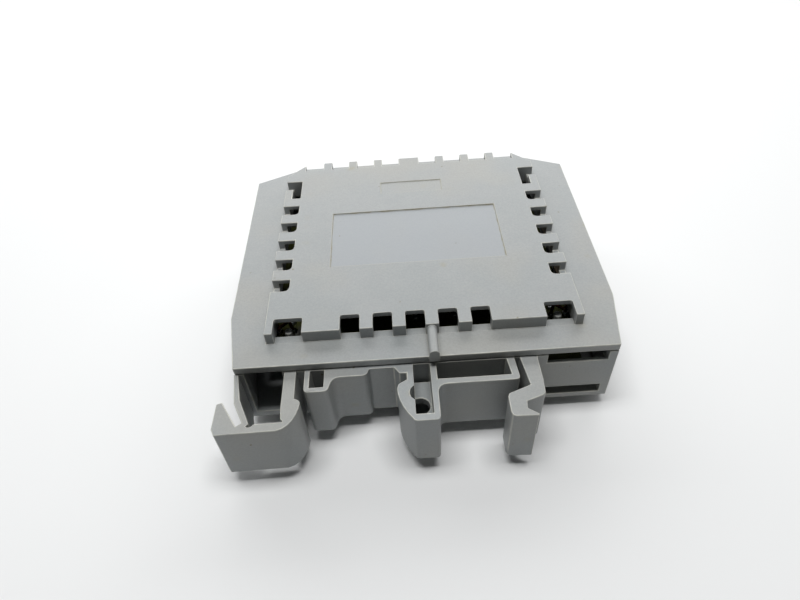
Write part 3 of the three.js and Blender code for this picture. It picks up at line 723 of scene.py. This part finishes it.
def makeScrew(c, number):
    nodeName = f"clamp_screw_{number}"
    low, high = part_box(nodeName)
    centre = Vector(((low.x + high.x) / 2, low.y, (low.z + high.z) / 2))
    length = high.y - low.y
    headRadius = (high.x - low.x) / 2
    core = c["shankRadius"] - c["ridge"]
    under = length - c["head"]
    edge = c["edge"]
    profile = [
        (0, 0),
        (0, core - 2 * edge),
        (2 * edge, core),
        (under - edge, core),
        (under, core + edge),
        (under, headRadius - edge),
        (under + edge, headRadius),
        *[(length - depth * edge, headRadius - c["headTaper"] + step * edge) for depth, step in c["rim"]],
        (length, 0),
    ]
    piece = newPiece(nodeName + "_turned", turnedMesh(nodeName, profile, centre, "Y", c["facets"]))
    reach = Vector((headRadius * 2, c["slotDepth"], c["slotWidth"] / 2))
    corners = [(x, y, z) for x in (-1, 1) for y in (-1, 1) for z in (-1, 1)]
    slotMesh = bpy.data.meshes.new("screwSlot")
    origin = centre + Vector((0, length, 0))
    slotMesh.from_pydata(
        [origin + Vector((x * reach.x, y * reach.y, z * reach.z)) for x, y, z in corners],
        [],
        [(0, 1, 3, 2), (4, 6, 7, 5), (0, 4, 5, 1), (2, 3, 7, 6), (0, 2, 6, 4), (1, 5, 7, 3)],
    )
    slotTool = newPiece("screwSlot", slotMesh)
    cut = piece.modifiers.new("slot", "BOOLEAN")
    cut.object = slotTool
    plainMesh(piece)
    bpy.data.objects.remove(slotTool)
    inset = c["threadInset"] * edge
    grow(
        piece,
        threadRoundShank,
        finishes["zinc_steel"],
        **{
            "Core radius": core,
            "Ridge": c["ridge"],
            "Pitch": c["pitch"],
            "Length": under - 2 * inset,
            "Start": centre + Vector((0, inset, 0)),
        },
    )
    piece.data.shade_smooth()
    piece.data.set_sharp_from_angle(angle=math.radians(c["sharpFrom"]))
    finishPiece(piece, nodeBody[nodeName], "zinc_steel", nodeName)


jaw = {
    "radius": 0.02 * mm,
    "ribs": 4,
    "ribRadius": 0.1 * mm,
    "ribShare": 0.86,           # of the width of the jaw
    "slope": (1.6 * mm, 0.6 * mm),  # the clamping face runs this far along Y and falls this far
    "ends": (0.75, 0.5),        # in steps: the first rib from the edge of the face, and the spare length
}


def makeJaw(c, number):
    nodeName = f"clamp_jaw_{number}"
    low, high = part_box(nodeName)
    piece = smoothFlats(roundEdges(cleanCopy(nodeName, nodeName + "_block"), c["radius"]))
    run, fall = c["slope"]
    first, spare = c["ends"]
    step = Vector((0, run, -fall)) / (c["ribs"] + spare)
    start = Vector(((low.x + high.x) / 2, low.y, low.z + fall)) + step * first
    grow(
        piece,
        ribsInRow,
        finishes["zinc_steel"],
        **{
            "Count": c["ribs"],
            "Start": start,
            "Step": step,
            "Rib radius": c["ribRadius"],
            "Rib length": (high.x - low.x) * c["ribShare"],
        },
    )
    finishPiece(piece, nodeBody[nodeName], "zinc_steel", nodeName)


for number in range(1, 9):
    makeScrew(screw, number)
    makeJaw(jaw, number)
print("screws and jaws made")

axial = {
    "leadRadius": 0.35 * mm,
    "facets": 28,
    "rim": [(0.0, 0.0), (0.0, 0.55), (0.15, 0.85), (0.5, 1.0)],     # depth in caps, share of the radius
    "neck": 1.4,                # in caps, where the body has narrowed to its waist
    "diode": {"length": 5.2 * mm, "waist": 1.0, "cap": 0.25 * mm, "slot": "black_epoxy"},
    "resistor": {"length": 6.3 * mm, "waist": 0.82, "cap": 1.3 * mm, "slot": "resistor_lacquer"},
}
leadRoutes = []
solderPoints = []


def axialBody(kind, number):
    # round body with a lead at each end, a straight barrel or one that is thicker at its ends
    c = axial[kind]
    nodeName = f"{kind}_{number}"
    low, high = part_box(nodeName)
    radius = (high.x - low.x) / 2
    centre = Vector(((low.x + high.x) / 2, (low.y + high.y) / 2, high.z - radius))
    half = c["length"] / 2
    waist = radius * c["waist"]
    rim = [(half - c["cap"] * depth, radius * share) for depth, share in axial["rim"]]
    belt = [(half - c["cap"], (radius + waist) / 2), (half - c["cap"] * axial["neck"], waist)]
    near = [(-distance, r) for distance, r in rim + belt]
    profile = near + [(-distance, r) for distance, r in reversed(near)]
    mesh = turnedMesh(nodeName, profile, centre, "Y", axial["facets"])
    material = bandedEpoxy if kind == "diode" else None
    finishPiece(newPiece(nodeName + "_body", mesh), "housing", c["slot"], nodeName, material=material)
    ends = [low.y + axial["leadRadius"], high.y - axial["leadRadius"]]
    foot = [Vector((centre.x, y, low.z)) for y in ends]
    bend = [Vector((centre.x, y, centre.z)) for y in ends]
    leadRoutes.append([foot[0], bend[0], bend[1], foot[1]])
    solderPoints.extend(foot)


for kind in ("diode", "resistor"):
    for number in (1, 2):
        axialBody(kind, number)

can = {
    "radius": 3.1 * mm,
    "length": 10.0 * mm,
    "crimp": 0.35 * mm,         # depth of the groove rolled in near the plug
    "plug": 0.6 * mm,
    "pins": 1.2 * mm,           # half the distance between its pins
    "pinInset": 0.3 * mm,
    "facets": 40,
    # the rounded closed end: distance from it in mm, and share of the radius
    "closedEnd": [(0.25, 0.0), (0.25, 0.8), (0.05, 0.86), (0.12, 0.95), (0.45, 1.0)],
    # the groove: distance from the open end in mm, and share of its depth
    "groove": [(2.2, 0.0), (1.9, 0.7), (1.6, 1.0), (1.3, 0.7), (1.0, 0.0), (0.2, 0.0)],
    # the plug: share of its height, and of the radius
    "openEnd": [(0, 0.95), (0, 0.86), (1, 0.84), (1, 0.0)],
}


def makeCapacitor(c):
    low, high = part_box("storage_capacitor")
    r, length = c["radius"], c["length"]
    centre = Vector((low.x, (low.y + high.y) / 2, high.z - r))
    profile = [(distance * mm, r * share) for distance, share in c["closedEnd"]]
    profile += [(length - distance * mm, r - c["crimp"] * share) for distance, share in c["groove"]]
    profile += [(length + c["plug"] * height, r * share) for height, share in c["openEnd"]]
    mesh = turnedMesh("storage_capacitor", profile, centre, "X", c["facets"])
    finishPiece(newPiece("storage_capacitor_can", mesh), "housing", "sleeve_film", "storage_capacitor")
    for side in (-1, 1):
        x, y = high.x - c["pinInset"], centre.y + side * c["pins"]
        foot = Vector((x, y, low.z))
        leadRoutes.append([Vector((low.x + length, y, centre.z)), Vector((x, y, centre.z)), foot])
        solderPoints.append(foot)


disc = {
    "radius": 2.9 * mm,
    "steps": 7,
    "crown": (0.6, 0.5),        # powers that flatten the faces and fill out the rim
    "facets": 36,
    "pins": 1.8 * mm,           # half the distance between its leads
    "leadHeight": 3 * mm,
}


def makeVaristor(c, number):
    # a disc dipped in lacquer, crowned on both faces
    nodeName = f"varistor_{number}"
    low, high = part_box(nodeName)
    half = (high.x - low.x) / 2
    centre = Vector(((low.x + high.x) / 2, (low.y + high.y) / 2, high.z - c["radius"]))
    angles = [math.pi * i / (2 * c["steps"]) for i in range(c["steps"] + 1)]
    flat, full = c["crown"]
    face = [(-half * math.cos(a) ** flat, c["radius"] * math.sin(a) ** full) for a in angles[:-1]]
    profile = face + [(0, c["radius"])] + [(-distance, r) for distance, r in reversed(face)]
    mesh = turnedMesh(nodeName, profile, centre, "X", c["facets"])
    finishPiece(newPiece(nodeName + "_disc", mesh), "housing", "disc_lacquer", nodeName)
    for side in (-1, 1):
        foot = Vector((centre.x, centre.y + side * c["pins"], low.z))
        leadRoutes.append([foot + Vector((0, 0, c["leadHeight"])), foot])
        solderPoints.append(foot)


makeCapacitor(can)
for number in (1, 2):
    makeVaristor(disc, number)

chip = {
    "halfWidth": 2.3 * mm,
    "lift": 0.5 * mm,           # of the body above the feet of its pins
    "draft": 0.25 * mm,         # how much narrower the body is at its top and bottom
    "pinRows": (-1.3 * mm, 1.3 * mm),
    "pinHeight": 2.05 * mm,
    "pinInset": 0.2 * mm,
    "pinReach": 0.8,            # share of the half width at which a pin starts inside the body
    "radius": 0.12 * mm,
}


def makeChip(c, number):
    # moulded in two halves, so the sides lean in from a parting line half way up
    nodeName = f"optocoupler_{number}"
    low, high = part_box(nodeName)
    centre = (low + high) / 2
    bottom = low.z + c["lift"]
    levels = [(bottom, c["draft"]), ((bottom + high.z) / 2, 0), (high.z, c["draft"])]
    shape = bmesh.new()
    rings = []
    for z, inset in levels:
        x, y = c["halfWidth"] - inset, (high.y - low.y) / 2 - inset
        corners = [(-x, -y), (x, -y), (x, y), (-x, y)]
        rings.append([shape.verts.new((centre.x + u, centre.y + v, z)) for u, v in corners])
    shape.faces.new(reversed(rings[0]))
    shape.faces.new(rings[-1])
    for lower, upper in zip(rings, rings[1:]):
        for i in range(4):
            j = (i + 1) % 4
            shape.faces.new((lower[i], lower[j], upper[j], upper[i]))
    mesh = bpy.data.meshes.new(nodeName)
    shape.to_mesh(mesh)
    shape.free()
    piece = smoothFlats(roundEdges(newPiece(nodeName + "_case", mesh), c["radius"]))
    finishPiece(piece, "housing", "black_epoxy", nodeName)
    out = (high.x - low.x) / 2 - c["pinInset"]
    inward = c["halfWidth"] * c["pinReach"]
    for side in (-1, 1):
        for row in c["pinRows"]:
            foot = Vector((centre.x + side * out, centre.y + row, low.z))
            knee = foot + Vector((0, 0, c["pinHeight"]))
            leadRoutes.append([Vector((centre.x + side * inward, knee.y, knee.z)), knee, foot])
            solderPoints.append(foot)


for number in (1, 2):
    makeChip(chip, number)

lead = {"wire": 0.3 * mm, "bend": 0.5 * mm, "facets": 10, "sharpFrom": 50}


def makeLeads(c):
    piece = newPiece("component_leads", pathMesh("componentLeads", leadRoutes))
    sizes = {"Wire radius": c["wire"], "Bend radius": c["bend"], "Facets": c["facets"]}
    grow(piece, wireAlongPath, solderTin, **sizes)
    piece.data.shade_smooth()
    piece.data.set_sharp_from_angle(angle=math.radians(c["sharpFrom"]))
    finishPiece(piece, "housing", "tinned_brass", material=solderTin)


makeLeads(lead)

link = {
    "wire": 0.3 * mm,
    "bend": 0.25 * mm,
    "facets": 12,
    # the bends from the outer foot to the inner one, as shares of the link's box: outwards, back and up
    "route": [(1.0, 1.0, 0.0), (1.0, 0.8, 0.96), (0.78, 0.0, 1.0), (0.1, 1.0, 0.96), (0.0, 1.0, 0.0)],
}


def makeLink(c, side, sign):
    nodeName = f"copper_link_{side}"
    low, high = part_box(nodeName)
    low, high = low + Vector([c["wire"]] * 3), high - Vector([c["wire"]] * 3)
    inner, outer = (high.x, low.x) if sign < 0 else (low.x, high.x)
    start = Vector((inner, low.y, low.z))
    run = Vector((outer, high.y, high.z)) - start
    route = [start + Vector((run.x * out, run.y * back, run.z * up)) for out, back, up in c["route"]]
    piece = newPiece(nodeName + "_wire", pathMesh(nodeName, [route]))
    sizes = {"Wire radius": c["wire"], "Bend radius": c["bend"], "Facets": c["facets"]}
    grow(piece, wireAlongPath, finishes["bare_copper"], **sizes)
    piece.data.shade_smooth()
    finishPiece(piece, "housing", "bare_copper", nodeName)
    solderPoints.extend([route[0], route[-1]])


makeLink(link, "left", -1)
makeLink(link, "right", 1)

solder = {
    "radius": 0.75 * mm,
    "height": 0.45 * mm,
    "stripInset": 0.5 * mm,     # of the joint of a contact strip, from its end
    "seed": 7,
}
for number in range(1, 9):
    low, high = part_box(f"contact_strip_{number}")
    solderPoints.append(Vector(((low.x + high.x) / 2, low.y + solder["stripInset"], 0)))


def makeSolder(c):
    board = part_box("circuit_board")[1].z
    spots = [Vector((p.x, p.y, board)) for p in solderPoints]
    piece = newPiece("solder_joints", pathMesh("solderJoints", [[p] for p in spots]))
    sizes = {"Joint radius": c["radius"], "Joint height": c["height"], "Seed": c["seed"]}
    grow(piece, solderOnPoints, solderTin, **sizes)
    finishPiece(piece, "housing", "tinned_brass", material=solderTin)


makeSolder(solder)
print("board parts made, leads:", len(leadRoutes), "joints:", len(solderPoints))

studio = {
    "floorColour": "#E3E4E4",
    "floorRoughness": 0.75,
    "floorSize": 3.0,
    "sky": "#F4F6F8",
    "skyStrength": 0.07,
}
panels = {
    # a soft panel straight above the foot, tilted to the back
    "keyPanel": {"place": (-0.01, -0.01, 0.4), "aim": (-0.01, 0.25, 0.0), "size": (0.3, 0.12), "power": 1.62},
    # a broad panel behind, for the gloss of the top faces
    "backPanel": {"place": (0.0, 0.55, 0.30), "aim": (0.0, 0.05, 0.0), "size": (1.3, 0.5), "power": 5.4},
}


def makeFloor(c):
    mesh = bpy.data.meshes.new("floor")
    half = c["floorSize"] / 2
    corners = [(-half, -half, 0), (half, -half, 0), (half, half, 0), (-half, half, 0)]
    mesh.from_pydata(corners, [], [(0, 1, 2, 3)])
    uniform = {"Base Color": linear(c["floorColour"]), "Roughness": c["floorRoughness"]}
    mesh.materials.append(newMaterial("paperMattWhite", uniform)[0])
    newPiece("floor", mesh)


def makeLight(name, c):
    data = bpy.data.lights.new(name, "AREA")
    data.shape = "RECTANGLE"
    data.size, data.size_y = c["size"]
    data.energy = c["power"]
    light = bpy.data.objects.new(name, data)
    bpy.context.scene.collection.objects.link(light)
    light.location = c["place"]
    light.rotation_euler = (Vector(c["aim"]) - Vector(c["place"])).to_track_quat("-Z", "Y").to_euler()


def makeSky(c):
    world = bpy.data.worlds.new("studioSky")
    world.use_nodes = True
    bpy.context.scene.world = world
    background = world.node_tree.nodes["Background"]
    background.inputs["Color"].default_value = linear(c["sky"])
    background.inputs["Strength"].default_value = c["skyStrength"]


makeFloor(studio)
for name, panel in panels.items():
    makeLight(name, panel)
makeSky(studio)
bpy.context.scene.view_settings.view_transform = "Standard"
print("floor and lights made")
